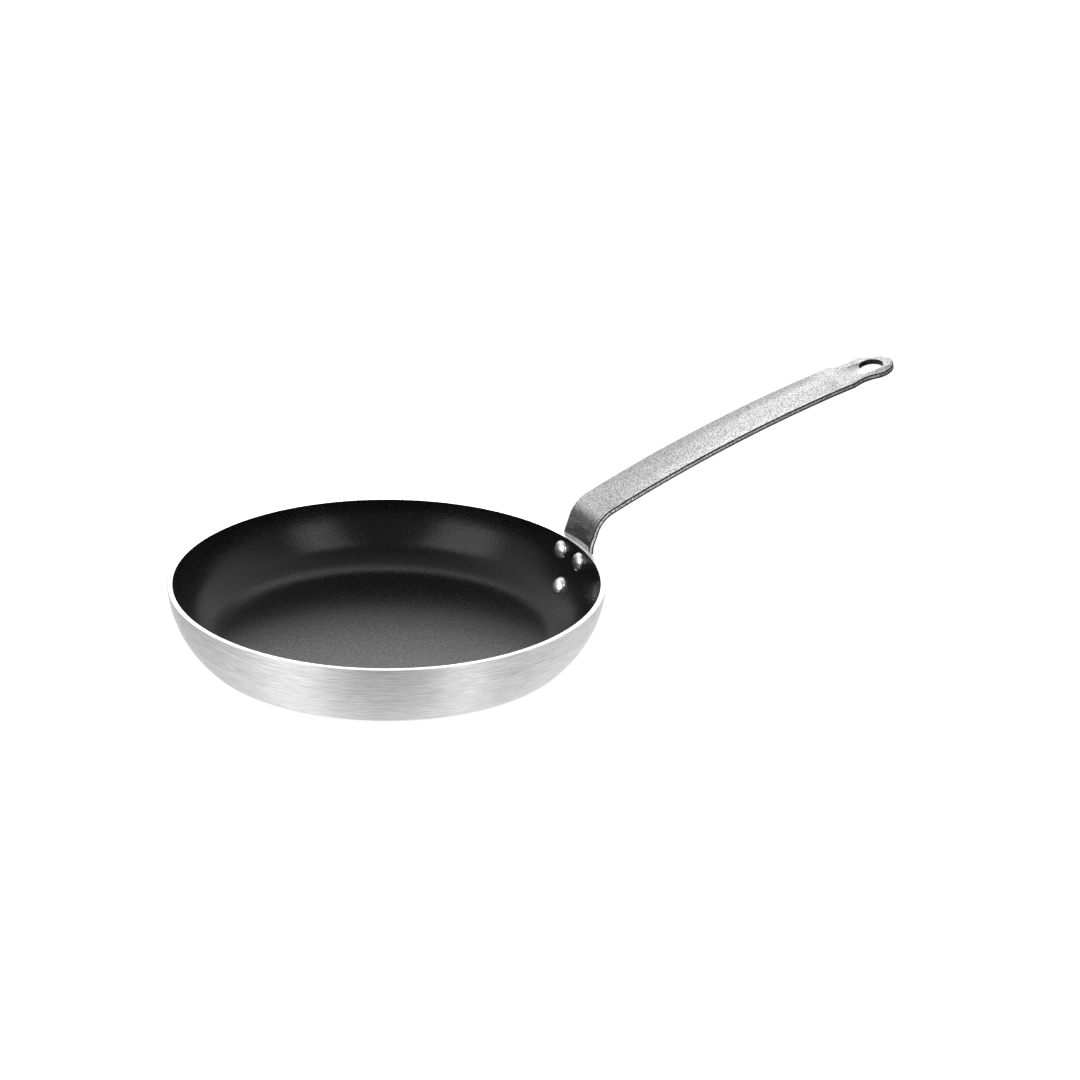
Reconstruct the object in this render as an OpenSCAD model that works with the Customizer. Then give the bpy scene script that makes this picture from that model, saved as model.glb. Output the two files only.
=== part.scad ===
// Omelette pan: a pressed aluminium bowl with a non-stick inside and a flat
// steel strip handle that three rivets hold to its wall.
// The pan stands on z = 0 with its axis on Z, and the handle points along +X.

/* [Bowl] */
// Outside diameter at the rim
rim_d = 280; // [200:1:360]
// Height from the resting face to the rim
pan_h = 45; // [42:0.5:52]
// Wall thickness, coating included
wall_t = 3.5; // [2.5:0.1:5]
// Floor thickness, coating included
floor_t = 4.5; // [3:0.1:7]
// Lean of the wall outwards from vertical at the rim, in degrees
rim_lean = 4.5; // [0:0.5:8]
// Radius of the wall's outside curve, seen in section
wall_r = 66; // [60:1:90]
// Radius of the corner between the wall and the resting face
corner_r = 6; // [2:0.5:10]
// Radius of the sweep from the floor up into the wall, inside
sweep_r = 31; // [12:1:38]
// Rounding of the rim's outer edge
rim_round = 0.8; // [0.3:0.1:1.2]
// Thickness of the non-stick coating
coat_t = 0.25; // [0.1:0.05:0.5]

/* [Handle strip] */
// Thickness of the steel strip
strip_t = 3.5; // [3:0.1:5]
// Width of the strip where it leaves the bowl
strip_w = 33; // [32:0.5:38]
// Width of the strip at the shoulder before the hanging eye
shoulder_w = 32; // [29:0.5:36]
// Radius of the slight bend that starts at the rim
kick_r = 30; // [12:1:60]
// Lean of the riser outwards from vertical, in degrees
riser_lean = 16.5; // [9:0.5:26]
// Straight length of the riser
riser_l = 4.2; // [2:0.2:20]
// Outside radius of the main bend
bend_r = 23; // [12:0.5:35]
// Slope of the grip where it leaves the main bend, in degrees
grip_rise = 21.2; // [12:0.1:35]
// Radius of the long arch of the grip
arch_r = 1070; // [700:10:3000]
// Length of the grip along its arch, from the main bend to the shoulder
grip_l = 185; // [120:1:240]
// Height of the crown pressed across the grip
crown_h = 1.2; // [0:0.1:2]
// Length over which the crown fades out at each end
fade_l = 14; // [6:1:30]

/* [Hanging eye] */
// Outside diameter of the eye
eye_d = 29.5; // [26:0.5:36]
// Slope by which the eye turns down from the end of the grip, in degrees
eye_drop = 3; // [1:0.5:8]
// Diameter of the hanging hole
hole_d = 15; // [8:0.5:18]
// Width of the neck between the shoulder and the eye
neck_w = 26.5; // [22:0.5:27]
// Radius of the hollow on each side of the neck
neck_r = 22.5; // [14:0.5:30]
// Rounding of the shoulder
shoulder_r = 13; // [6:1:14]

/* [Rivets] */
// Shank diameter of a rivet
rivet_d = 6; // [4:0.5:8]
// Diameter of the domed head inside the bowl
head_d = 12.5; // [10:0.5:14]
// Height of the domed head inside the bowl
head_h = 3.5; // [1.5:0.1:4]
// Diameter of the head formed on the strip outside
tail_d = 9.5; // [8:0.5:10]
// Height of the head formed on the strip outside
tail_h = 2.2; // [1.2:0.1:3]
// Distance between the two upper rivets, along the wall
rivet_pitch = 23; // [18:0.5:24]
// Drop of the upper rivets below the rim
upper_drop = 9; // [8:0.5:12]
// Drop of the lower rivet below the rim
lower_drop = 28.5; // [25:0.5:30]
// Rounding of the riveted pad's tip and of its two shoulders
pad_r = 10; // [8:0.5:11]

/* [Fits] */
// Gap between seated faces
seat_gap = 0.1; // [0.05:0.05:0.3]
// Gap all round a rivet's shank in its holes
shank_gap = 0.1; // [0.05:0.05:0.3]

/* [Hidden] */
$fn = 180;

bare_aluminium = [0.80, 0.81, 0.82];
coating_black = [0.09, 0.09, 0.10];
coated_steel = [0.56, 0.56, 0.57];
rivet_aluminium = [0.76, 0.77, 0.78];

// How far a cutting shape runs past what it cuts
past = 1;

// Bowl section: the wall is an arc about one centre, inside and outside alike
wall_cx = rim_d / 2 - wall_r * cos(rim_lean);
wall_cz = pan_h + wall_r * sin(rim_lean);
wall_in_r = wall_r - wall_t;

// Distance from the axis of a circle at height z that touches an arc of the wall from inside
function touching_x(arc_r, r, z) = wall_cx + sqrt(pow(arc_r - r, 2) - pow(wall_cz - z, 2));
// Height at which such a circle touches that arc
function touching_z(arc_r, r, z) = wall_cz - arc_r * (wall_cz - z) / (arc_r - r);

corner_cx = touching_x(wall_r, corner_r, corner_r);
corner_top = touching_z(wall_r, corner_r, corner_r);
rim_edge_z = pan_h - rim_round;
rim_edge_cx = touching_x(wall_r, rim_round, rim_edge_z);
rim_edge_low = touching_z(wall_r, rim_round, rim_edge_z);
sweep_cz = floor_t + sweep_r;
sweep_cx = touching_x(wall_in_r, sweep_r, sweep_cz);

// Places on the wall: lean of the wall's normal below level, at a drop under the rim
function wall_tilt(drop) = asin((wall_cz - pan_h + drop) / wall_in_r);
upper_tilt = wall_tilt(upper_drop);
lower_tilt = wall_tilt(lower_drop);
upper_turn = asin(rivet_pitch / 2 / (wall_cx + wall_in_r * cos(upper_tilt)));
// Each rivet is its turn about the pan's axis and its tilt
upper_left = [upper_turn, upper_tilt];
upper_right = [-upper_turn, upper_tilt];
lower = [0, lower_tilt];
rivets = [upper_left, upper_right, lower];

// Side line of the strip's upper face
strip_face_r = wall_r + seat_gap;
strip_back_r = strip_face_r + strip_t;
tail_seat_r = strip_back_r + seat_gap;
rim_slope = 90 - rim_lean;
riser_slope = 90 - riser_lean;
end_slope = grip_rise - grip_l / arch_r * 180 / PI;
eye_slope = end_slope - eye_drop;

// The point that an arc of radius r reaches when it turns down from slope a to slope b
function turned(p, r, a, b) = p + r * [sin(a) - sin(b), cos(b) - cos(a)];
function ahead(p, l, a) = p + l * [cos(a), sin(a)];

rim_point = [wall_cx, wall_cz] + strip_face_r * [cos(rim_lean), -sin(rim_lean)];
riser_foot = turned(rim_point, kick_r, rim_slope, riser_slope);
bend_foot = ahead(riser_foot, riser_l, riser_slope);
grip_start = turned(bend_foot, bend_r, riser_slope, grip_rise);
shoulder = turned(grip_start, arch_r, grip_rise, end_slope);
neck_start = turned(shoulder, bend_r, end_slope, eye_slope);

// Neck: a rounded shoulder runs into a hollow on each side, and the hollow into the eye
hollow_y = neck_w / 2 + neck_r;
round_y = shoulder_w / 2 - shoulder_r;
hollow_x = sqrt(pow(neck_r + shoulder_r, 2) - pow(hollow_y - round_y, 2));
round_end = hollow_x * shoulder_r / (neck_r + shoulder_r);
eye_reach = hollow_x + sqrt(pow(neck_r + eye_d / 2, 2) - pow(hollow_y, 2));
eye_centre = ahead(neck_start, eye_reach, eye_slope);

// Pad, seen from the bowl's axis: as wide as the strip down to the upper rivets, then tapered to a round tip
pad_upper = [strip_w / 2 - pad_r, pan_h - upper_drop];
pad_low_z = pan_h - lower_drop;
pad_run = (pad_upper - [0, pad_low_z]) / norm(pad_upper - [0, pad_low_z]);
flank_low_z = pad_low_z - pad_r * pad_run[0];
flank_top_z = pad_upper[1] - pad_r * pad_run[0];

// Half of the side of a circle of radius r at a distance l from its centre
function chord(r, l) = sqrt(max(0, r * r - l * l));
// Half width of the pad at a height z
function pad_half(z) =
    z < flank_low_z ? chord(pad_r, z - pad_low_z)
    : z < flank_top_z ? pad_r * pad_run[1] + (z - flank_low_z) * pad_run[0] / pad_run[1]
    : z < pad_upper[1] ? pad_upper[0] + chord(pad_r, z - pad_upper[1])
    : strip_w / 2;

// Half width of the strip at a distance l past the start of the neck
hollow_end = hollow_x + (eye_reach - hollow_x) * neck_r / (neck_r + eye_d / 2);
function neck_half(l) =
    l < round_end ? round_y + chord(shoulder_r, l)
    : l < hollow_end ? hollow_y - chord(neck_r, l - hollow_x)
    : chord(eye_d / 2, l - eye_reach);

// Share of the full crown at a length l along the grip
function ease(f) = f * f * (3 - 2 * f);
function crown_at(l) = ease(min(1, l / fade_l, (grip_l - l) / fade_l));

// The pad wraps round the bowl, and the grip's crown curves the other way, up from the line of its edges
function wrap(tilt) = cos(tilt) / (wall_cx + strip_face_r * cos(tilt)) / 2;
crown_curve = -crown_h / pow(strip_w / 2, 2);

// Stations along each stretch
tip_steps = 8;
pad_steps = 14;
kick_steps = 4;
bend_steps = 13;
fade_steps = 5;
grip_steps = 24;
neck_steps = 10;
eye_steps = 14;
// The strip's two ends are cut off this far round their circles, in degrees
blunt = 9;
eye_from = acos((eye_reach - hollow_end) / eye_d * 2);

pad_heights = concat(
    [for (i = [0 : tip_steps]) pad_low_z - pad_r * cos(blunt + (90 - blunt) * i / tip_steps)],
    [for (i = [1 : pad_steps]) pad_low_z + (rim_point[1] - pad_low_z) * i / pad_steps]);
grip_lengths = concat(
    [for (i = [1 : fade_steps]) fade_l * i / fade_steps],
    [for (i = [1 : grip_steps]) fade_l + (grip_l - 2 * fade_l) * i / grip_steps],
    [for (i = [1 : fade_steps]) grip_l - fade_l + fade_l * i / fade_steps]);
neck_lengths = concat(
    [for (i = [0 : neck_steps]) hollow_end * i / neck_steps],
    [for (i = [1 : eye_steps])
        eye_reach - eye_d / 2 * cos(eye_from + (180 - blunt - eye_from) * i / eye_steps)]);

// Each station of the strip's upper face is [x, z, slope, curve across, half width]
stations = concat(
    [for (z = pad_heights)
        let (a = asin((wall_cz - z) / strip_face_r))
        [wall_cx + strip_face_r * cos(a), z, 90 - a, wrap(a), pad_half(z)]],
    [for (i = [1 : kick_steps])
        let (a = rim_slope + (riser_slope - rim_slope) * i / kick_steps,
             p = turned(rim_point, kick_r, rim_slope, a))
        [p[0], p[1], a, wrap(rim_lean) * (1 - ease(i / (kick_steps + 1))), strip_w / 2]],
    [for (i = [0 : bend_steps])
        let (a = riser_slope + (grip_rise - riser_slope) * i / bend_steps,
             p = turned(bend_foot, bend_r, riser_slope, a))
        [p[0], p[1], a, 0, strip_w / 2]],
    [for (l = grip_lengths)
        let (share = crown_at(l),
             a = grip_rise + (end_slope - grip_rise) * l / grip_l,
             p = ahead(turned(grip_start, arch_r, grip_rise, a), crown_h * share, a + 90))
        [p[0], p[1], a, crown_curve * share, strip_w / 2 + (shoulder_w - strip_w) / 2 * l / grip_l]],
    [for (l = neck_lengths)
        let (p = ahead(neck_start, l, eye_slope))
        [p[0], p[1], eye_slope, 0, neck_half(l)]]);

// Everything inside an arc of the wall with its sweep, from the floor up to the rim
module bowl_section(grow, top) {
    arc_r = wall_in_r + grow;
    touch = touching_z(arc_r, sweep_r + grow, sweep_cz);
    intersection() {
        union() {
            square([sweep_cx, top]);
            translate([sweep_cx, sweep_cz]) circle(r = sweep_r + grow);
            intersection() {
                translate([wall_cx, wall_cz]) circle(r = arc_r);
                translate([sweep_cx, touch]) square([rim_d, top - touch]);
            }
        }
        translate([0, floor_t - grow]) square([rim_d, top - floor_t + grow]);
    }
}

// The bowl's outer outline, filled in to the axis
module outer_section() {
    square([corner_cx, pan_h]);
    intersection() {
        translate([corner_cx, corner_r]) circle(r = corner_r);
        square([rim_d, corner_r]);
    }
    intersection() {
        translate([wall_cx, wall_cz]) circle(r = wall_r);
        translate([corner_cx, corner_top]) square([rim_d, rim_edge_low - corner_top]);
    }
    translate([corner_cx, rim_edge_low]) square([rim_edge_cx - corner_cx, pan_h - rim_edge_low]);
    intersection() {
        translate([rim_edge_cx, rim_edge_z]) circle(r = rim_round);
        translate([rim_edge_cx, rim_edge_low]) square([rim_d, pan_h - rim_edge_low]);
    }
}

// Puts a child on the wall's arc, above +X: its origin at the arc's centre, its Z axis out through the wall
module on_wall(tilt) {
    translate([wall_cx, 0, wall_cz])
        rotate([0, 90 + tilt, 0])
            children();
}

module rivet_holes() {
    for (place = rivets)
        rotate([0, 0, place[0]])
            on_wall(place[1])
                translate([0, 0, wall_in_r - head_h])
                    cylinder(r = rivet_d / 2 + shank_gap, h = wall_t + strip_t + 2 * head_h);
}

module pan_body() {
    color(bare_aluminium)
        difference() {
            rotate_extrude()
                difference() {
                    outer_section();
                    bowl_section(coat_t, pan_h + past);
                }
            rivet_holes();
        }
}

module nonstick_coating() {
    color(coating_black)
        difference() {
            rotate_extrude()
                difference() {
                    bowl_section(coat_t, pan_h);
                    bowl_section(0, pan_h + past);
                }
            rivet_holes();
        }
}

// The strip, as one band swept along the stations
across_steps = 8;
ring = 2 * (across_steps + 1);

function strip_point(s, share, below) =
    let (y = share * s[4], lift = s[3] * y * y - below)
    [s[0] - lift * sin(s[2]), y, s[1] + lift * cos(s[2])];
function across(i) = 2 * i / across_steps - 1;

strip_points = [
    for (s = stations) each concat(
        [for (i = [0 : across_steps]) strip_point(s, across(i), 0)],
        [for (i = [across_steps : -1 : 0]) strip_point(s, across(i), strip_t)])];

strip_faces = concat(
    [for (j = [0 : len(stations) - 2], i = [0 : ring - 1])
        let (a = j * ring + i, b = j * ring + (i + 1) % ring)
        each [[a, b, a + ring], [b, b + ring, a + ring]]],
    [for (i = [0 : across_steps - 1])
        let (j = ring - 1 - i, end = (len(stations) - 1) * ring)
        each [[i + 1, i, j], [i + 1, j, j - 1],
              [end + i, end + i + 1, end + j], [end + i + 1, end + j - 1, end + j]]]);

module handle() {
    color(coated_steel)
        difference() {
            polyhedron(points = strip_points, faces = strip_faces, convexity = 6);
            rivet_holes();
            translate([eye_centre[0], 0, eye_centre[1]])
                rotate([0, -eye_slope, 0])
                    translate([0, 0, -2 * strip_t])
                        cylinder(d = hole_d, h = 3 * strip_t);
        }
}

// A domed rivet head: its crown at the origin, its seat at height h and a little skirt beyond
module dome(d, h) {
    r = (d * d / 4 + h * h) / h / 2;
    intersection() {
        translate([0, 0, r]) sphere(r = r);
        cylinder(d = d, h = h + past);
    }
}

module rivet(place) {
    tilt = place[1];
    color(rivet_aluminium)
        rotate([0, 0, place[0]]) {
            // Head inside, seated on the coating
            intersection() {
                on_wall(tilt)
                    translate([0, 0, wall_in_r - seat_gap - head_h])
                        dome(head_d, head_h);
                rotate_extrude() bowl_section(-seat_gap, pan_h);
            }
            on_wall(tilt)
                translate([0, 0, wall_in_r - head_h / 2])
                    cylinder(d = rivet_d, h = tail_seat_r - wall_in_r + (head_h + tail_h) / 2);
            // Head formed on the back of the strip
            difference() {
                on_wall(tilt)
                    translate([0, 0, tail_seat_r + tail_h])
                        mirror([0, 0, 1])
                            dome(tail_d, tail_h);
                rotate_extrude()
                    intersection() {
                        translate([wall_cx, wall_cz]) circle(r = tail_seat_r);
                        translate([wall_cx, 0]) square([rim_d, pan_h]);
                    }
            }
        }
}

pan_body();
nonstick_coating();
handle();
rivet(upper_left);  // rivet_upper_left
rivet(upper_right);  // rivet_upper_right
rivet(lower);  // rivet_lower
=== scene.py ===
from math import asin, atan2, cos, degrees, hypot, pi, radians, sin, sqrt

import bpy
from mathutils import Matrix, Vector


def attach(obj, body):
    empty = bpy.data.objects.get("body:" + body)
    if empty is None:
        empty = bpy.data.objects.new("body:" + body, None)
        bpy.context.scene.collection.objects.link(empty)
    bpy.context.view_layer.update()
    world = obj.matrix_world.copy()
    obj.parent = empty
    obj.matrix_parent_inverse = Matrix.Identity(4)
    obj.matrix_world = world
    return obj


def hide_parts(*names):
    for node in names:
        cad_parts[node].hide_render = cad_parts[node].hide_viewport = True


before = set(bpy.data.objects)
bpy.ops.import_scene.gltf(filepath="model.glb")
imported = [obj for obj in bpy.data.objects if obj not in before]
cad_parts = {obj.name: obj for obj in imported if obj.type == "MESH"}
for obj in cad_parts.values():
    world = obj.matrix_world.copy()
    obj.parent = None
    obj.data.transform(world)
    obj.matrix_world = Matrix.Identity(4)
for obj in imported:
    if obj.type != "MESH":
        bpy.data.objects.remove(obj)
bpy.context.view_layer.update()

MM = 0.001

# Bowl
RIM_R = 140 * MM
PAN_H = 45 * MM
WALL_T = 3.5 * MM
FLOOR_T = 4.5 * MM
RIM_LEAN = 4.5
WALL_R = 66 * MM
CORNER_R = 6 * MM
SWEEP_R = 31 * MM
RIM_ROUND = 0.8 * MM
COAT_T = 0.25 * MM

# Handle strip
STRIP_T = 3.5 * MM
STRIP_W = 33 * MM
SHOULDER_W = 32 * MM
PAD_R = 10 * MM
KICK_R = 30 * MM
RISER_LEAN = 16.5
RISER_L = 4.2 * MM
BEND_R = 23 * MM
GRIP_RISE = 21.2
ARCH_R = 1070 * MM
GRIP_L = 185 * MM
CROWN_H = 1.2 * MM
FADE_L = 14 * MM
EDGE_ROUND = 0.55 * MM

# Hanging eye
EYE_D = 29.5 * MM
EYE_DROP = 3
HOLE_D = 15 * MM
NECK_W = 26.5 * MM
NECK_R = 22.5 * MM
SHOULDER_R = 13 * MM
# Longer than what is left of the strip past its last bend
EYE_RUN = 60 * MM

# Rivets
RIVET_D = 6 * MM
HEAD_D = 12.5 * MM
HEAD_H = 3.5 * MM
TAIL_D = 9.5 * MM
TAIL_H = 2.2 * MM
RIVET_PITCH = 23 * MM
UPPER_DROP = 9 * MM
LOWER_DROP = 28.5 * MM
GAP = 0.1 * MM
# The heads reach this far past their seats, so that no gap shows under them
SUNK = 0.4 * MM

# Steps round the bowl, a rivet, a rivet's hole and the hanging hole
TURN_STEPS = 256
RIVET_STEPS = 64
DRILL_STEPS = 48
HOLE_STEPS = 96
# Steps down the inside of the wall, and again round the sweep into the floor
INSIDE_STEPS = 18
# Points closer than this are one
WELD = 0.002 * MM
# A cut through the strip takes in points closer to it than this
CUT_SNAP = 0.02 * MM

# Where finishes meet: the machined ring reaches this far in from the rim's edge and this far
# down, and the turned base reaches this far up
RING_W = 4 * MM
RING_DEPTH = 0.25 * MM
BASE_DEPTH = 0.3 * MM
# The sides of the strip are grey between a dark line above and one below, this far from its faces:
# the dark lines are painted shade
TOP_SHADE_LINE = 0.7 * MM
LOW_SHADE_LINE = 1.3 * MM
# A face whose normal rises less than this belongs to the sides or to the rounded edges
FLAT = 0.97

WALL_IN_R = WALL_R - WALL_T
WALL_C = (RIM_R - WALL_R * cos(radians(RIM_LEAN)), PAN_H + WALL_R * sin(radians(RIM_LEAN)))


# Camera
# The photograph's own view: 1080 x 1080, with a long lens, 29.5 degrees round from the side
PIXELS = 1080
SENSOR = 36
FOCAL_PX = 10192.6
DISTANCE = 6.5
ELEVATION = 22.973
AZIMUTH = 29.5
# In radians
ROLL = 0.006467
RIM_AT_PX = (386.55, 582.36)


def heading(side, rise):
    """The direction with a bearing from +Y towards +X and a rise, both in degrees"""
    a, b = radians(side), radians(rise)
    return Vector((cos(b) * sin(a), cos(b) * cos(a), sin(b)))


forward = heading(AZIMUTH, -ELEVATION)
level_right = heading(AZIMUTH + 90, 0)
level_up = level_right.cross(forward)
right = cos(ROLL) * level_right + sin(ROLL) * level_up
up = -sin(ROLL) * level_right + cos(ROLL) * level_up
off_x = (RIM_AT_PX[0] - PIXELS / 2) / FOCAL_PX * DISTANCE
off_y = (RIM_AT_PX[1] - PIXELS / 2) / FOCAL_PX * DISTANCE
eye = Vector((0, 0, PAN_H)) - DISTANCE * forward - off_x * right + off_y * up

camera_data = bpy.data.cameras.new("camera")
camera_data.sensor_width = SENSOR
camera_data.lens = SENSOR * FOCAL_PX / PIXELS
camera = bpy.data.objects.new("camera", camera_data)
bpy.context.scene.collection.objects.link(camera)
turn = Matrix((right, up, -forward)).transposed().to_4x4()
camera.matrix_world = Matrix.Translation(eye) @ turn
bpy.context.scene.camera = camera
bpy.context.scene.view_settings.view_transform = "Standard"


# Nodes
def colour(hex_code):
    """An sRGB hex colour as linear red, green, blue and alpha"""
    parts = [int(hex_code[i:i + 2], 16) / 255 for i in (1, 3, 5)]
    return [c / 12.92 if c <= 0.04045 else ((c + 0.055) / 1.055) ** 2.4 for c in parts] + [1]


def add(tree, kind, values=None, **settings):
    """A new node with its own settings: values go into its sockets, and those that are sockets
    themselves are linked"""
    new = tree.nodes.new(kind)
    for key, value in settings.items():
        setattr(new, key, value)
    for key, value in (values or {}).items():
        if isinstance(value, bpy.types.NodeSocket):
            tree.links.new(value, new.inputs[key])
        else:
            new.inputs[key].default_value = value
    return new


def blank_material(name):
    """A new material with only its output: the material, its tree and that output"""
    material = bpy.data.materials.new(name)
    material.use_nodes = True
    tree = material.node_tree
    tree.nodes.clear()
    return material, tree, add(tree, "ShaderNodeOutputMaterial")


def turned_lines(tree, long, fine, detail):
    """Noise drawn out into lines round the pan's axis, about as long and as thick as given"""
    place = add(tree, "ShaderNodeTexCoord").outputs["Object"]
    part = add(tree, "ShaderNodeSeparateXYZ", {0: place})
    flat = add(tree, "ShaderNodeVectorMath", {0: place, 1: (1, 1, 0)}, operation="MULTIPLY")
    radius = add(tree, "ShaderNodeVectorMath", {0: flat.outputs[0]}, operation="LENGTH")
    way = add(tree, "ShaderNodeVectorMath", {0: flat.outputs[0]}, operation="NORMALIZE")
    round_it = add(tree, "ShaderNodeVectorMath", {0: way.outputs[0], "Scale": RIM_R / long},
                   operation="SCALE")
    height = add(tree, "ShaderNodeMath", {0: part.outputs["Z"], 1: 1 / fine},
                 operation="MULTIPLY")
    rise = add(tree, "ShaderNodeCombineXYZ", {"Z": height.outputs[0]})
    where = add(tree, "ShaderNodeVectorMath", {0: round_it.outputs[0], 1: rise.outputs[0]},
                operation="ADD")
    ring = add(tree, "ShaderNodeMath", {0: radius.outputs["Value"], 1: 1 / fine},
               operation="MULTIPLY")
    return add(tree, "ShaderNodeTexNoise", {
        "Vector": where.outputs[0], "W": ring.outputs[0], "Scale": 1, "Detail": detail,
        "Roughness": 0.6}, noise_dimensions="4D").outputs["Fac"]


def ring_tangent(tree):
    """The direction round the pan's axis, along which a lathe or a belt leaves its lines"""
    place = add(tree, "ShaderNodeTexCoord").outputs["Object"]
    return add(tree, "ShaderNodeVectorMath", {0: (0, 0, 1), 1: place},
               operation="CROSS_PRODUCT").outputs[0]


def tones(tree, value, low, dark, high, light):
    """Colours from dark to light as a value runs from low to high"""
    ramp = add(tree, "ShaderNodeValToRGB", {"Fac": value})
    for stop, place, hex_code in zip(ramp.color_ramp.elements, (low, high), (dark, light)):
        stop.position = place
        stop.color = colour(hex_code)
    return ramp.outputs["Color"]


def grain(tree, size, detail):
    """Noise with features about as big as given"""
    place = add(tree, "ShaderNodeTexCoord").outputs["Object"]
    return add(tree, "ShaderNodeTexNoise", {
        "Vector": place, "Scale": 1 / size, "Detail": detail, "Roughness": 0.6}).outputs["Fac"]


def dents(tree, height, depth, strength):
    """The normal of a surface dented to a depth by a height that runs from 0 to 1"""
    return add(tree, "ShaderNodeBump", {
        "Height": height, "Strength": strength, "Distance": depth}).outputs["Normal"]


def shade(tree, out, **values):
    """The surface's shader: underscores in the names of its values stand for spaces"""
    shader = add(tree, "ShaderNodeBsdfPrincipled", {
        key.replace("_", " "): value for key, value in values.items()})
    tree.links.new(shader.outputs[0], out.inputs["Surface"])


def brushed_aluminium():
    """Pressed aluminium brushed round on a belt: fine broken lines with fainter broad ones among
    them, and light drawn out up and down the wall"""
    material, tree, out = blank_material("brushed aluminium")
    # Real lines are about 0.1 mm: drawn coarser to show
    fine = turned_lines(tree, 13 * MM, 0.2 * MM, 2)
    broad = turned_lines(tree, 40 * MM, 0.9 * MM, 2)
    both = add(tree, "ShaderNodeMix", {"Factor": 0.12, "A": fine, "B": broad},
               data_type="FLOAT").outputs[0]
    shade(tree, out, Base_Color=tones(tree, both, 0.38, "#C4C4C5", 0.62, "#F4F4F4"),
          Metallic=1, Roughness=0.58, Anisotropic=0.93, Anisotropic_Rotation=0.25,
          Tangent=ring_tangent(tree), Normal=dents(tree, fine, 0.02 * MM, 0.2))
    return material


def machined_rim():
    """Aluminium faced off flat on a lathe: the brightest metal on the pan, with faint lines"""
    material, tree, out = blank_material("machined aluminium rim")
    # Real lines are about 0.1 mm: drawn coarser to show
    fine = turned_lines(tree, 60 * MM, 0.3 * MM, 2)
    shade(tree, out, Base_Color=tones(tree, fine, 0.3, "#F4F4F4", 0.6, "#FFFFFF"),
          Metallic=1, Roughness=0.3)
    return material


def turned_base():
    """Aluminium turned flat underneath: even rings half a millimetre wide, duller than the rim"""
    material, tree, out = blank_material("turned aluminium base")
    rings = turned_lines(tree, 300 * MM, 0.5 * MM, 1)
    shade(tree, out, Base_Color=tones(tree, rings, 0.35, "#B2B2B3", 0.65, "#DADADB"),
          Metallic=1, Roughness=0.38, Anisotropic=0.7, Anisotropic_Rotation=0.25,
          Tangent=ring_tangent(tree), Normal=dents(tree, rings, 0.04 * MM, 0.4))
    return material


def baked_non_stick():
    """Sprayed and baked black fluoropolymer, of low IOR: satin, with a soft orange peel that
    makes it shine unevenly, and a fine pale speck"""
    material, tree, out = blank_material("baked black non-stick")
    # A real speck is about half a millimetre or less: drawn coarser to show
    speck = grain(tree, 0.9 * MM, 1)
    satin = add(tree, "ShaderNodeMapRange", {
        "Value": grain(tree, 1.2 * MM, 1), "From Min": 0.36, "From Max": 0.64,
        "To Min": 0.19, "To Max": 0.32})
    shade(tree, out, Base_Color=tones(tree, speck, 0.55, "#080808", 0.8, "#2C2B2C"),
          Roughness=satin.outputs[0], IOR=1.35,
          Normal=dents(tree, grain(tree, 1.1 * MM, 1), 0.1 * MM, 0.6))
    return material


def hammered_strip():
    """Strip steel, silver-grey and hammered: a fine grain that breaks up what it mirrors"""
    material, tree, out = blank_material("hammered silver-grey steel")
    pits = grain(tree, 0.8 * MM, 2)
    shade(tree, out, Base_Color=tones(tree, pits, 0.38, "#6A6A6B", 0.56, "#D0D0D0"),
          Metallic=1, Roughness=0.16, Normal=dents(tree, pits, 0.06 * MM, 0.25))
    return material


def strip_edge(name, dark, light):
    """Edge of the strip, sheared and then tumbled round, in a grain between the two colours given:
    grey for the middle of its sides, and near black as painted shade on its rounded edges and the
    hole's wall
    """
    material, tree, out = blank_material(name)
    shade(tree, out, Base_Color=tones(tree, grain(tree, 0.9 * MM, 2), 0.4, dark, 0.6, light),
          Metallic=1, Roughness=0.4)
    return material


def formed_aluminium():
    """Rivet aluminium, its heads formed cold in a polished set: bright, with faint flow marks"""
    material, tree, out = blank_material("formed rivet aluminium")
    marks = grain(tree, 2 * MM, 2)
    shade(tree, out, Base_Color=tones(tree, marks, 0.35, "#E2E2E3", 0.6, "#FAFAFA"),
          Metallic=1, Roughness=0.27, Normal=dents(tree, marks, 0.1 * MM, 0.06))
    return material


# Modelling
def deselect():
    if bpy.context.mode != "OBJECT":
        bpy.ops.object.mode_set(mode="OBJECT")
    bpy.ops.object.select_all(action="DESELECT")


def pick(piece):
    """Makes a piece the only one selected, and the active one"""
    deselect()
    piece.select_set(True)
    bpy.context.view_layer.objects.active = piece


def arc(centre, r, start, end, steps):
    """Points on an arc from one angle to another, in degrees"""
    angles = [radians(start + (end - start) * i / steps) for i in range(steps + 1)]
    return [(centre[0] + r * cos(a), centre[1] + r * sin(a)) for a in angles]


def bearing(a, b):
    """The angle, in degrees, of the way from a to b"""
    return degrees(atan2(b[1] - a[1], b[0] - a[0]))


def draw(name, points):
    """A new piece in edit mode: one point, extruded from place to place along a line"""
    deselect()
    bpy.ops.mesh.primitive_plane_add(size=MM)
    piece = bpy.context.active_object
    piece.name = piece.data.name = name
    bpy.ops.object.mode_set(mode="EDIT")
    bpy.ops.mesh.select_all(action="SELECT")
    bpy.ops.mesh.merge(type="CENTER")
    bpy.ops.transform.translate(value=points[0])
    for a, b in zip(points, points[1:]):
        step = [q - p for p, q in zip(a, b)]
        bpy.ops.mesh.extrude_region_move(TRANSFORM_OT_translate={"value": step})
    return piece


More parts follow.
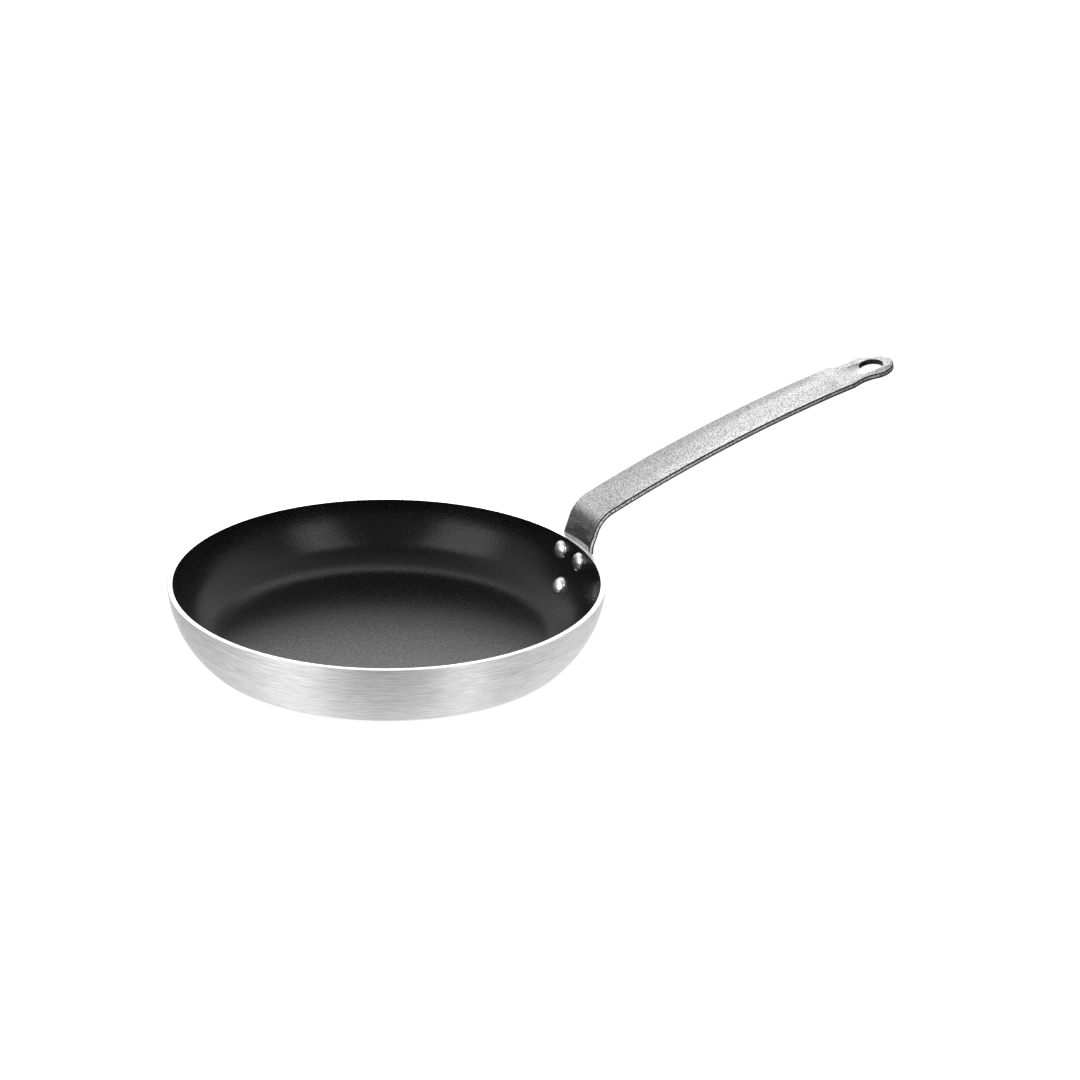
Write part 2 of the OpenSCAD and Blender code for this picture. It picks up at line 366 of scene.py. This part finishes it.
def spin(name, section, steps):
    """A closed shape turned about the Z axis from a section that starts and ends on it"""
    piece = draw(name, [(r, 0, z) for r, z in section])
    bpy.ops.mesh.select_all(action="SELECT")
    bpy.ops.mesh.spin(steps=steps, angle=2 * pi, center=(0, 0, 0), axis=(0, 0, 1))
    bpy.ops.mesh.select_all(action="SELECT")
    bpy.ops.mesh.remove_doubles(threshold=WELD)
    bpy.ops.mesh.normals_make_consistent(inside=False)
    bpy.ops.object.mode_set(mode="OBJECT")
    return piece


def drill(piece, bits):
    """Cuts the shape of another object out of a piece"""
    deselect()
    bpy.context.view_layer.objects.active = piece
    cut = piece.modifiers.new("drilled", "BOOLEAN")
    cut.object = bits
    cut.operation = "DIFFERENCE"
    cut.solver = "EXACT"
    bpy.ops.object.modifier_apply(modifier=cut.name)


def cut_across(place, way, snap):
    """Cuts the piece in edit mode wherever a plane crosses it"""
    bpy.ops.mesh.select_all(action="SELECT")
    bpy.ops.mesh.bisect(plane_co=place, plane_no=way, threshold=snap)


def smooth(piece, angle):
    """Shades a piece smooth, but for edges sharper than an angle in degrees"""
    pick(piece)
    bpy.ops.object.shade_smooth_by_angle(angle=radians(angle))


def settle(piece, place):
    """Puts a piece in its place, with the place in its mesh"""
    piece.matrix_world = place
    pick(piece)
    bpy.ops.object.transform_apply(location=True, rotation=True, scale=True)


def finish_with(piece, *materials):
    piece.data.materials.clear()
    for material in materials:
        piece.data.materials.append(material)


# Bowl in section, from the middle of the resting face round to the middle of the floor
def touching_x(arc_r, r, z):
    """How far from the axis a circle at a height z has its centre, if it touches an arc of the
    wall from inside"""
    return WALL_C[0] + sqrt((arc_r - r) ** 2 - (WALL_C[1] - z) ** 2)


def inside_line(grow):
    """The coating's face, or, grown by its thickness, its back and the bowl's own inside: from
    the rim's height down to the axis"""
    wall_r = WALL_IN_R + grow
    top = degrees(asin((PAN_H - WALL_C[1]) / wall_r))
    lean = bearing(WALL_C, sweep_c)
    return (arc(WALL_C, wall_r, top, lean, INSIDE_STEPS)
            + arc(sweep_c, SWEEP_R + grow, lean, -90, INSIDE_STEPS)[1:]
            + [(0, FLOOR_T - grow)])


sweep_c = (touching_x(WALL_IN_R, SWEEP_R, FLOOR_T + SWEEP_R), FLOOR_T + SWEEP_R)
corner_c = (touching_x(WALL_R, CORNER_R, CORNER_R), CORNER_R)
edge_c = (touching_x(WALL_R, RIM_ROUND, PAN_H - RIM_ROUND), PAN_H - RIM_ROUND)
wall_low = bearing(WALL_C, corner_c)
wall_top = bearing(WALL_C, edge_c)

outside = ([(0, 0)] + arc(corner_c, CORNER_R, -90, wall_low, steps=8)
           + arc(WALL_C, WALL_R, wall_low, wall_top, steps=24)[1:]
           + arc(edge_c, RIM_ROUND, wall_top, 90, steps=6)[1:])
bowl = spin("bowl", outside + inside_line(COAT_T), TURN_STEPS)
coating = spin("coating", inside_line(0)[::-1] + inside_line(COAT_T), TURN_STEPS)


# Rivets, each drawn about the line through the wall's centre: domed head, shank and tail head
def dome(d, h, seat, way, steps):
    """Side line of a full domed head, from its crown to its edge"""
    angles = [pi / 2 * i / steps for i in range(steps + 1)]
    return [(d / 2 * sin(a), seat - way * h * cos(a)) for a in angles]


def rivet_section():
    seat = WALL_IN_R - GAP
    tail_seat = WALL_R + STRIP_T + 2 * GAP
    return (dome(HEAD_D, HEAD_H, seat, way=1, steps=14)
            + [(HEAD_D / 2, seat + SUNK), (RIVET_D / 2, seat + SUNK),
               (RIVET_D / 2, tail_seat - SUNK), (TAIL_D / 2, tail_seat - SUNK)]
            + dome(TAIL_D, TAIL_H, tail_seat, way=-1, steps=12)[::-1])


def wall_tilt(drop):
    """The tilt below level, from the wall's centre, of a place this far below the rim"""
    return asin((WALL_C[1] - PAN_H + drop) / WALL_IN_R)


def on_wall(turn, tilt):
    """Where a thing drawn about the wall's centre goes, for a turn about the pan's axis and a
    tilt below level"""
    out = Matrix.Translation((WALL_C[0], 0, WALL_C[1])) @ Matrix.Rotation(pi / 2 + tilt, 4, "Y")
    return Matrix.Rotation(turn, 4, "Z") @ out


upper_tilt = wall_tilt(UPPER_DROP)
upper_turn = asin(RIVET_PITCH / 2 / (WALL_C[0] + WALL_IN_R * cos(upper_tilt)))
RIVET_PLACES = {
    "rivet_upper_left": (upper_turn, upper_tilt),
    "rivet_upper_right": (-upper_turn, upper_tilt),
    "rivet_lower": (0, wall_tilt(LOWER_DROP))}

first_rivet = spin("rivet", rivet_section(), RIVET_STEPS)
smooth(first_rivet, angle=35)
rivets, bits = {}, []
for node_name, place in RIVET_PLACES.items():
    pick(first_rivet)
    bpy.ops.object.duplicate(linked=False)
    rivet = bpy.context.active_object
    rivet.name = rivet.data.name = node_name.replace("rivet", "riveted")
    settle(rivet, on_wall(*place))
    rivets[node_name] = rivet
    deselect()
    bpy.ops.mesh.primitive_cylinder_add(
        vertices=DRILL_STEPS, radius=RIVET_D / 2 + GAP, depth=3 * WALL_T + 2 * STRIP_T)
    bit = bpy.context.active_object
    settle(bit, on_wall(*place) @ Matrix.Translation((0, 0, WALL_R)))
    bits.append(bit)
bpy.data.objects.remove(first_rivet)
deselect()
for bit in bits:
    bit.select_set(True)
bpy.context.view_layer.objects.active = bits[0]
bpy.ops.object.join()
drills = bpy.context.active_object

drill(bowl, drills)
drill(coating, drills)

# Handle: cut flat as a blank, its edges rounded, then pressed to its bends
FACE_R = WALL_R + GAP
rim_slope = radians(90 - RIM_LEAN)
riser_slope = radians(90 - RISER_LEAN)
grip_slope = radians(GRIP_RISE)
kick_l = KICK_R * (rim_slope - riser_slope)
bend_l = BEND_R * (riser_slope - grip_slope)
nose_l = BEND_R * radians(EYE_DROP)
grip_from = kick_l + RISER_L + bend_l
neck_from = grip_from + GRIP_L + nose_l
# The strip's bends in turn, past the rim: how long each is, and by how much it turns down
BENDS = [(kick_l, rim_slope - riser_slope), (RISER_L, 0), (bend_l, riser_slope - grip_slope),
         (GRIP_L, GRIP_L / ARCH_R), (nose_l, radians(EYE_DROP)), (EYE_RUN, 0)]


def ease(f):
    """From 0 to 1, with a soft start and end"""
    f = min(1, max(0, f))
    return f * f * (3 - 2 * f)


def path(s):
    """Place and slope of the strip's upper face at a length s past the rim"""
    if s < 0:
        tilt = radians(RIM_LEAN) - s / FACE_R
        return WALL_C[0] + FACE_R * cos(tilt), WALL_C[1] - FACE_R * sin(tilt), pi / 2 - tilt
    x = WALL_C[0] + FACE_R * cos(radians(RIM_LEAN))
    z = WALL_C[1] - FACE_R * sin(radians(RIM_LEAN))
    a = rim_slope
    for length, down in BENDS:
        part = min(s, length)
        b = a - down * part / length
        if down:
            x += length / down * (sin(a) - sin(b))
            z += length / down * (cos(b) - cos(a))
        else:
            x += part * cos(a)
            z += part * sin(a)
        a = b
        s -= part
    return x, z, a


def lift(s, y, a):
    """How far the upper face rises off its side line: wrapped round the bowl, then crowned"""
    tilt = max(pi / 2 - a, radians(RIM_LEAN)) if s < 0 else radians(RIM_LEAN)
    bowl_curve = cos(tilt) / (WALL_C[0] + FACE_R * cos(tilt)) / 2
    wrap = bowl_curve * (1 - ease(s / (kick_l + RISER_L)))
    along = min(s - grip_from, grip_from + GRIP_L - s) / FADE_L
    return wrap * y * y + CROWN_H * ease(along) * (1 - (y / (STRIP_W / 2)) ** 2)


def press(piece):
    """Moves each point of the flat blank to its place on the bent strip"""
    for v in piece.data.vertices:
        s, y, h = v.co
        x, z, a = path(s)
        rise = lift(s, y, a) + h
        v.co = (x - rise * sin(a), y, z + rise * cos(a))
    piece.data.update()


def at_height(z):
    """Length along the pad, back from the rim, at a height on the wall"""
    return FACE_R * (radians(RIM_LEAN) - asin((WALL_C[1] - z) / FACE_R))


# Pad outline, as (half width, height): round the tip, up the flank and round to the strip's width
pad_low = (0, PAN_H - LOWER_DROP)
pad_up = (STRIP_W / 2 - PAD_R, PAN_H - UPPER_DROP)
flank = bearing(pad_low, pad_up) - 90
pad_line = (arc(pad_low, PAD_R, -90, flank, steps=20)
            + arc(pad_up, PAD_R, flank, 0, steps=8))

# Neck outline, as (length past the nose bend, half width): rounded shoulder, hollow and eye
hollow_y = NECK_W / 2 + NECK_R
round_c = (0, SHOULDER_W / 2 - SHOULDER_R)
hollow_c = (sqrt((NECK_R + SHOULDER_R) ** 2 - (hollow_y - round_c[1]) ** 2), hollow_y)
eye_c = (hollow_c[0] + sqrt((NECK_R + EYE_D / 2) ** 2 - hollow_y ** 2), 0)
lean_in = bearing(round_c, hollow_c)
lean_out = bearing(hollow_c, eye_c)
neck_line = (arc(round_c, SHOULDER_R, 90, lean_in, steps=8)
             + arc(hollow_c, NECK_R, lean_in - 180, lean_out, steps=12)[1:]
             + arc(eye_c, EYE_D / 2, lean_out + 180, 0, steps=40)[1:])
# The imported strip's end is cut off this far round the eye, so the eye is drawn that much shorter
BLUNT = cos(radians(9))

half_line = [(at_height(z), y) for y, z in pad_line] + [(grip_from, STRIP_W / 2)]
for l, y in neck_line:
    past_eye = max(0, l - eye_c[0])
    half_line.append((neck_from + l - past_eye * (1 - BLUNT), y))
outline = half_line + [(s, -y) for s, y in half_line[-2:0:-1]]

strip = draw("strip_handle", [(s, y, 0) for s, y in outline + outline[:1]])
bpy.ops.mesh.select_all(action="SELECT")
bpy.ops.mesh.remove_doubles(threshold=WELD)
bpy.ops.mesh.edge_face_add()
bpy.ops.mesh.extrude_region_move(TRANSFORM_OT_translate={"value": (0, 0, -STRIP_T)})
bpy.ops.mesh.select_all(action="SELECT")
bpy.ops.mesh.normals_make_consistent(inside=False)
deselect()
bpy.ops.mesh.primitive_cylinder_add(
    vertices=HOLE_STEPS, radius=HOLE_D / 2, depth=4 * STRIP_T,
    location=(neck_from + eye_c[0], 0, 0))
punch = bpy.context.active_object
drill(strip, punch)
bpy.data.objects.remove(punch)
edges = strip.modifiers.new("rounded edges", "BEVEL")
edges.width = EDGE_ROUND
edges.segments = 3
edges.limit_method = "ANGLE"
edges.angle_limit = radians(60)
bpy.context.view_layer.objects.active = strip
bpy.ops.object.modifier_apply(modifier=edges.name)

# Rounded edges and the hole's wall get painted shade, near black, and the middle of the sides is
# grey
pick(strip)
bpy.ops.object.mode_set(mode="EDIT")
for height in (-TOP_SHADE_LINE, LOW_SHADE_LINE - STRIP_T):
    cut_across((0, 0, height), (0, 0, 1), WELD)
bpy.ops.object.mode_set(mode="OBJECT")
# The third finish, near black, is painted shade on the rounded edges and the hole's wall
finish_with(strip, hammered_strip(), strip_edge("sheared edge", "#6A6A6B", "#E0E0E0"),
            strip_edge("painted shade on rounded edge", "#141415", "#3A3A3B"))
for face in strip.data.polygons:
    off_hole = hypot(face.center.x - neck_from - eye_c[0], face.center.y)
    at_hole = off_hole < HOLE_D / 2 + EDGE_ROUND
    middle = LOW_SHADE_LINE - STRIP_T < face.center.z < -TOP_SHADE_LINE
    if abs(face.normal.z) < FLAT:
        face.material_index = 1 if middle and not at_hole else 2

# Cuts across the blank that let it bend: how long each stretch is, from the pad's tip on, and
# into how many parts it goes
s = at_height(pad_low[1] - PAD_R)
cuts = []
for length, parts in (
        (-s, 18), (kick_l, 6), (RISER_L, 3), (bend_l, 22), (FADE_L, 8),
        (GRIP_L - 2 * FADE_L, 34), (FADE_L, 8), (nose_l, 4)):
    cuts += [s + length * i / parts for i in range(1, parts + 1)]
    s += length
# Cuts along it, in millimetres from its middle, let it take the bowl's curve and the crown
long_cuts = (-15, -12, -9, -6, -3, 0, 3, 6, 9, 12, 15)
pick(strip)
bpy.ops.object.mode_set(mode="EDIT")
for s in cuts:
    cut_across((s, 0, 0), (1, 0, 0), CUT_SNAP)
for y in long_cuts:
    cut_across((0, y * MM, 0), (0, 1, 0), CUT_SNAP)
bpy.ops.object.mode_set(mode="OBJECT")
press(strip)
drill(strip, drills)
bpy.data.objects.remove(drills)

for piece, angle in ((bowl, 30), (coating, 30), (strip, 35)):
    smooth(piece, angle)


# Finishes
finish_with(bowl, brushed_aluminium(), machined_rim(), turned_base())
for face in bowl.data.polygons:
    if face.center.z > PAN_H - RING_DEPTH and hypot(*face.center[:2]) > RIM_R - RING_W:
        face.material_index = 1
    elif face.center.z < BASE_DEPTH:
        face.material_index = 2
finish_with(coating, baked_non_stick())
rivet_finish = formed_aluminium()
for rivet in rivets.values():
    finish_with(rivet, rivet_finish)

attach(bowl, "root")
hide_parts("pan_body")
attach(coating, "root")
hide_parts("nonstick_coating")
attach(strip, "root")
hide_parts("handle")
for node_name, rivet in rivets.items():
    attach(rivet, "root")
    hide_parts(node_name)


# Floor: its size, its drop below the pan, how brightly it glows, and how much light it gives back
FLOOR_SIZE = 60
FLOOR_DROP = 0.2 * MM
FLOOR_GLOW = 0.84
FLOOR_MATT = 0.26
# What the metal mirrors of the glow fades out between these distances from the pan's middle
GLOW_FULL = 0.3
GLOW_GONE = 0.55
WHITE = colour("#FFFFFF")

deselect()
bpy.ops.mesh.primitive_plane_add(size=FLOOR_SIZE, location=(0, 0, -FLOOR_DROP))
floor = bpy.context.active_object
floor.name = "floor"
floor_material, tree, out = blank_material("white floor")
ray = add(tree, "ShaderNodeLightPath")
place = add(tree, "ShaderNodeTexCoord").outputs["Object"]
off_pan = add(tree, "ShaderNodeVectorMath", {0: place}, operation="LENGTH").outputs["Value"]
lit = add(tree, "ShaderNodeMapRange", {
    "Value": off_pan, "From Min": GLOW_FULL, "From Max": GLOW_GONE, "To Min": 1, "To Max": 0})
mirrored = add(tree, "ShaderNodeMath", {0: ray.outputs["Is Glossy Ray"], 1: lit.outputs[0]},
               operation="MULTIPLY")
seen = add(tree, "ShaderNodeMath", {0: ray.outputs["Is Camera Ray"], 1: mirrored.outputs[0]},
           operation="MAXIMUM")
seen = add(tree, "ShaderNodeMath", {0: seen.outputs[0], 1: ray.outputs["Is Transmission Ray"]},
           operation="MAXIMUM")
level = add(tree, "ShaderNodeMath", {0: seen.outputs[0], 1: FLOOR_GLOW}, operation="MULTIPLY")
glow = add(tree, "ShaderNodeEmission", {"Color": WHITE, "Strength": level.outputs[0]})
matt = add(tree, "ShaderNodeBsdfDiffuse", {"Color": [FLOOR_MATT] * 3 + [1]})
total = add(tree, "ShaderNodeAddShader", {0: glow.outputs[0], 1: matt.outputs[0]})
tree.links.new(total.outputs[0], out.inputs["Surface"])
finish_with(floor, floor_material)

# The room: white behind the pan and to its sides, dim behind the camera, and less bright overhead
ROOM_DARK = 0.3
ROOM_WHITE = 1.15
OVERHEAD = 0.5
# The room changes between these shares of a direction's length, away from the camera and up
AWAY = (-0.5, 0)
STEEP = (0.7, 0.98)
# Soft patches of the room, each with its bearing from +Y towards +X and its rise, the angles from
# its middle within which it is full and beyond which it is gone, and how much it adds
PATCHES = (
    (36, 56, 9, 25, 1.2),       # a glow high up behind, which the grip mirrors
    (38, 40, 8, 19, -0.85),     # a dimmer part between it and the glow below
    (25, 29, 3, 8, 0.6),        # a small glow, which the eye mirrors
    (20, 35, 3, 8, 0.6),        # a small glow, which the far end of the grip mirrors
    (12, 17, 5, 16, -0.2),      # a dimmer part, which the grip's far side mirrors
    (34, 10, 5, 14, 3.8),       # a glow low down, which lights the front of the cooking floor
    (-37, -1, 5, 36, -0.95))    # a dark card low down behind, which the riser mirrors

world = bpy.data.worlds.new("studio")
bpy.context.scene.world = world
world.use_nodes = True
tree = world.node_tree
tree.nodes.clear()
out = add(tree, "ShaderNodeOutputWorld")
way = add(tree, "ShaderNodeTexCoord").outputs["Generated"]
facing = add(tree, "ShaderNodeVectorMath", {0: way, 1: heading(AZIMUTH, 0)},
             operation="DOT_PRODUCT")
behind = add(tree, "ShaderNodeMapRange", {
    "Value": facing.outputs["Value"], "From Min": AWAY[0], "From Max": AWAY[1],
    "To Min": ROOM_DARK, "To Max": ROOM_WHITE}, interpolation_type="SMOOTHSTEP")
rise = add(tree, "ShaderNodeSeparateXYZ", {0: way}).outputs["Z"]
above = add(tree, "ShaderNodeMapRange", {
    "Value": rise, "From Min": STEEP[0], "From Max": STEEP[1], "To Min": 1, "To Max": OVERHEAD})
level = add(tree, "ShaderNodeMath", {0: behind.outputs[0], 1: above.outputs[0]},
            operation="MULTIPLY")
total = level.outputs[0]
for side, rise, full, gone, change in PATCHES:
    near = add(tree, "ShaderNodeVectorMath", {0: way, 1: heading(side, rise)},
               operation="DOT_PRODUCT")
    patch = add(tree, "ShaderNodeMapRange", {
        "Value": near.outputs["Value"], "From Min": cos(radians(gone)),
        "From Max": cos(radians(full)), "To Min": 0, "To Max": change},
        interpolation_type="SMOOTHSTEP")
    total = add(tree, "ShaderNodeMath", {0: total, 1: patch.outputs[0]},
                operation="ADD").outputs[0]
total = add(tree, "ShaderNodeMath", {0: total, 1: 0}, operation="MAXIMUM").outputs[0]
sky = add(tree, "ShaderNodeBackground", {"Color": WHITE, "Strength": total})
tree.links.new(sky.outputs[0], out.inputs["Surface"])

# A tall soft box to each side of the camera: its name, its turn from the camera and its rise in
# degrees, its sizes in metres and its brightness
SOFT_BOXES = (
    ("soft_box_left", -48, 30, 0.95, 1.2, 2.2),
    ("soft_box_right", 43, 30, 0.6, 1.2, 2.15))
BOX_DISTANCE = 1.5
# An area lamp's power is this many times its brightness times its area
POWER = 4

for name, side, rise, wide, tall, bright in SOFT_BOXES:
    lamp_data = bpy.data.lights.new(name, "AREA")
    lamp_data.shape = "RECTANGLE"
    lamp_data.size = wide
    lamp_data.size_y = tall
    lamp_data.energy = POWER * wide * tall * bright
    lamp = bpy.data.objects.new(name, lamp_data)
    bpy.context.scene.collection.objects.link(lamp)
    lamp.location = BOX_DISTANCE * heading(AZIMUTH + 180 - side, rise)
    lamp.rotation_euler = (-lamp.location).to_track_quat("-Z", "Y").to_euler()
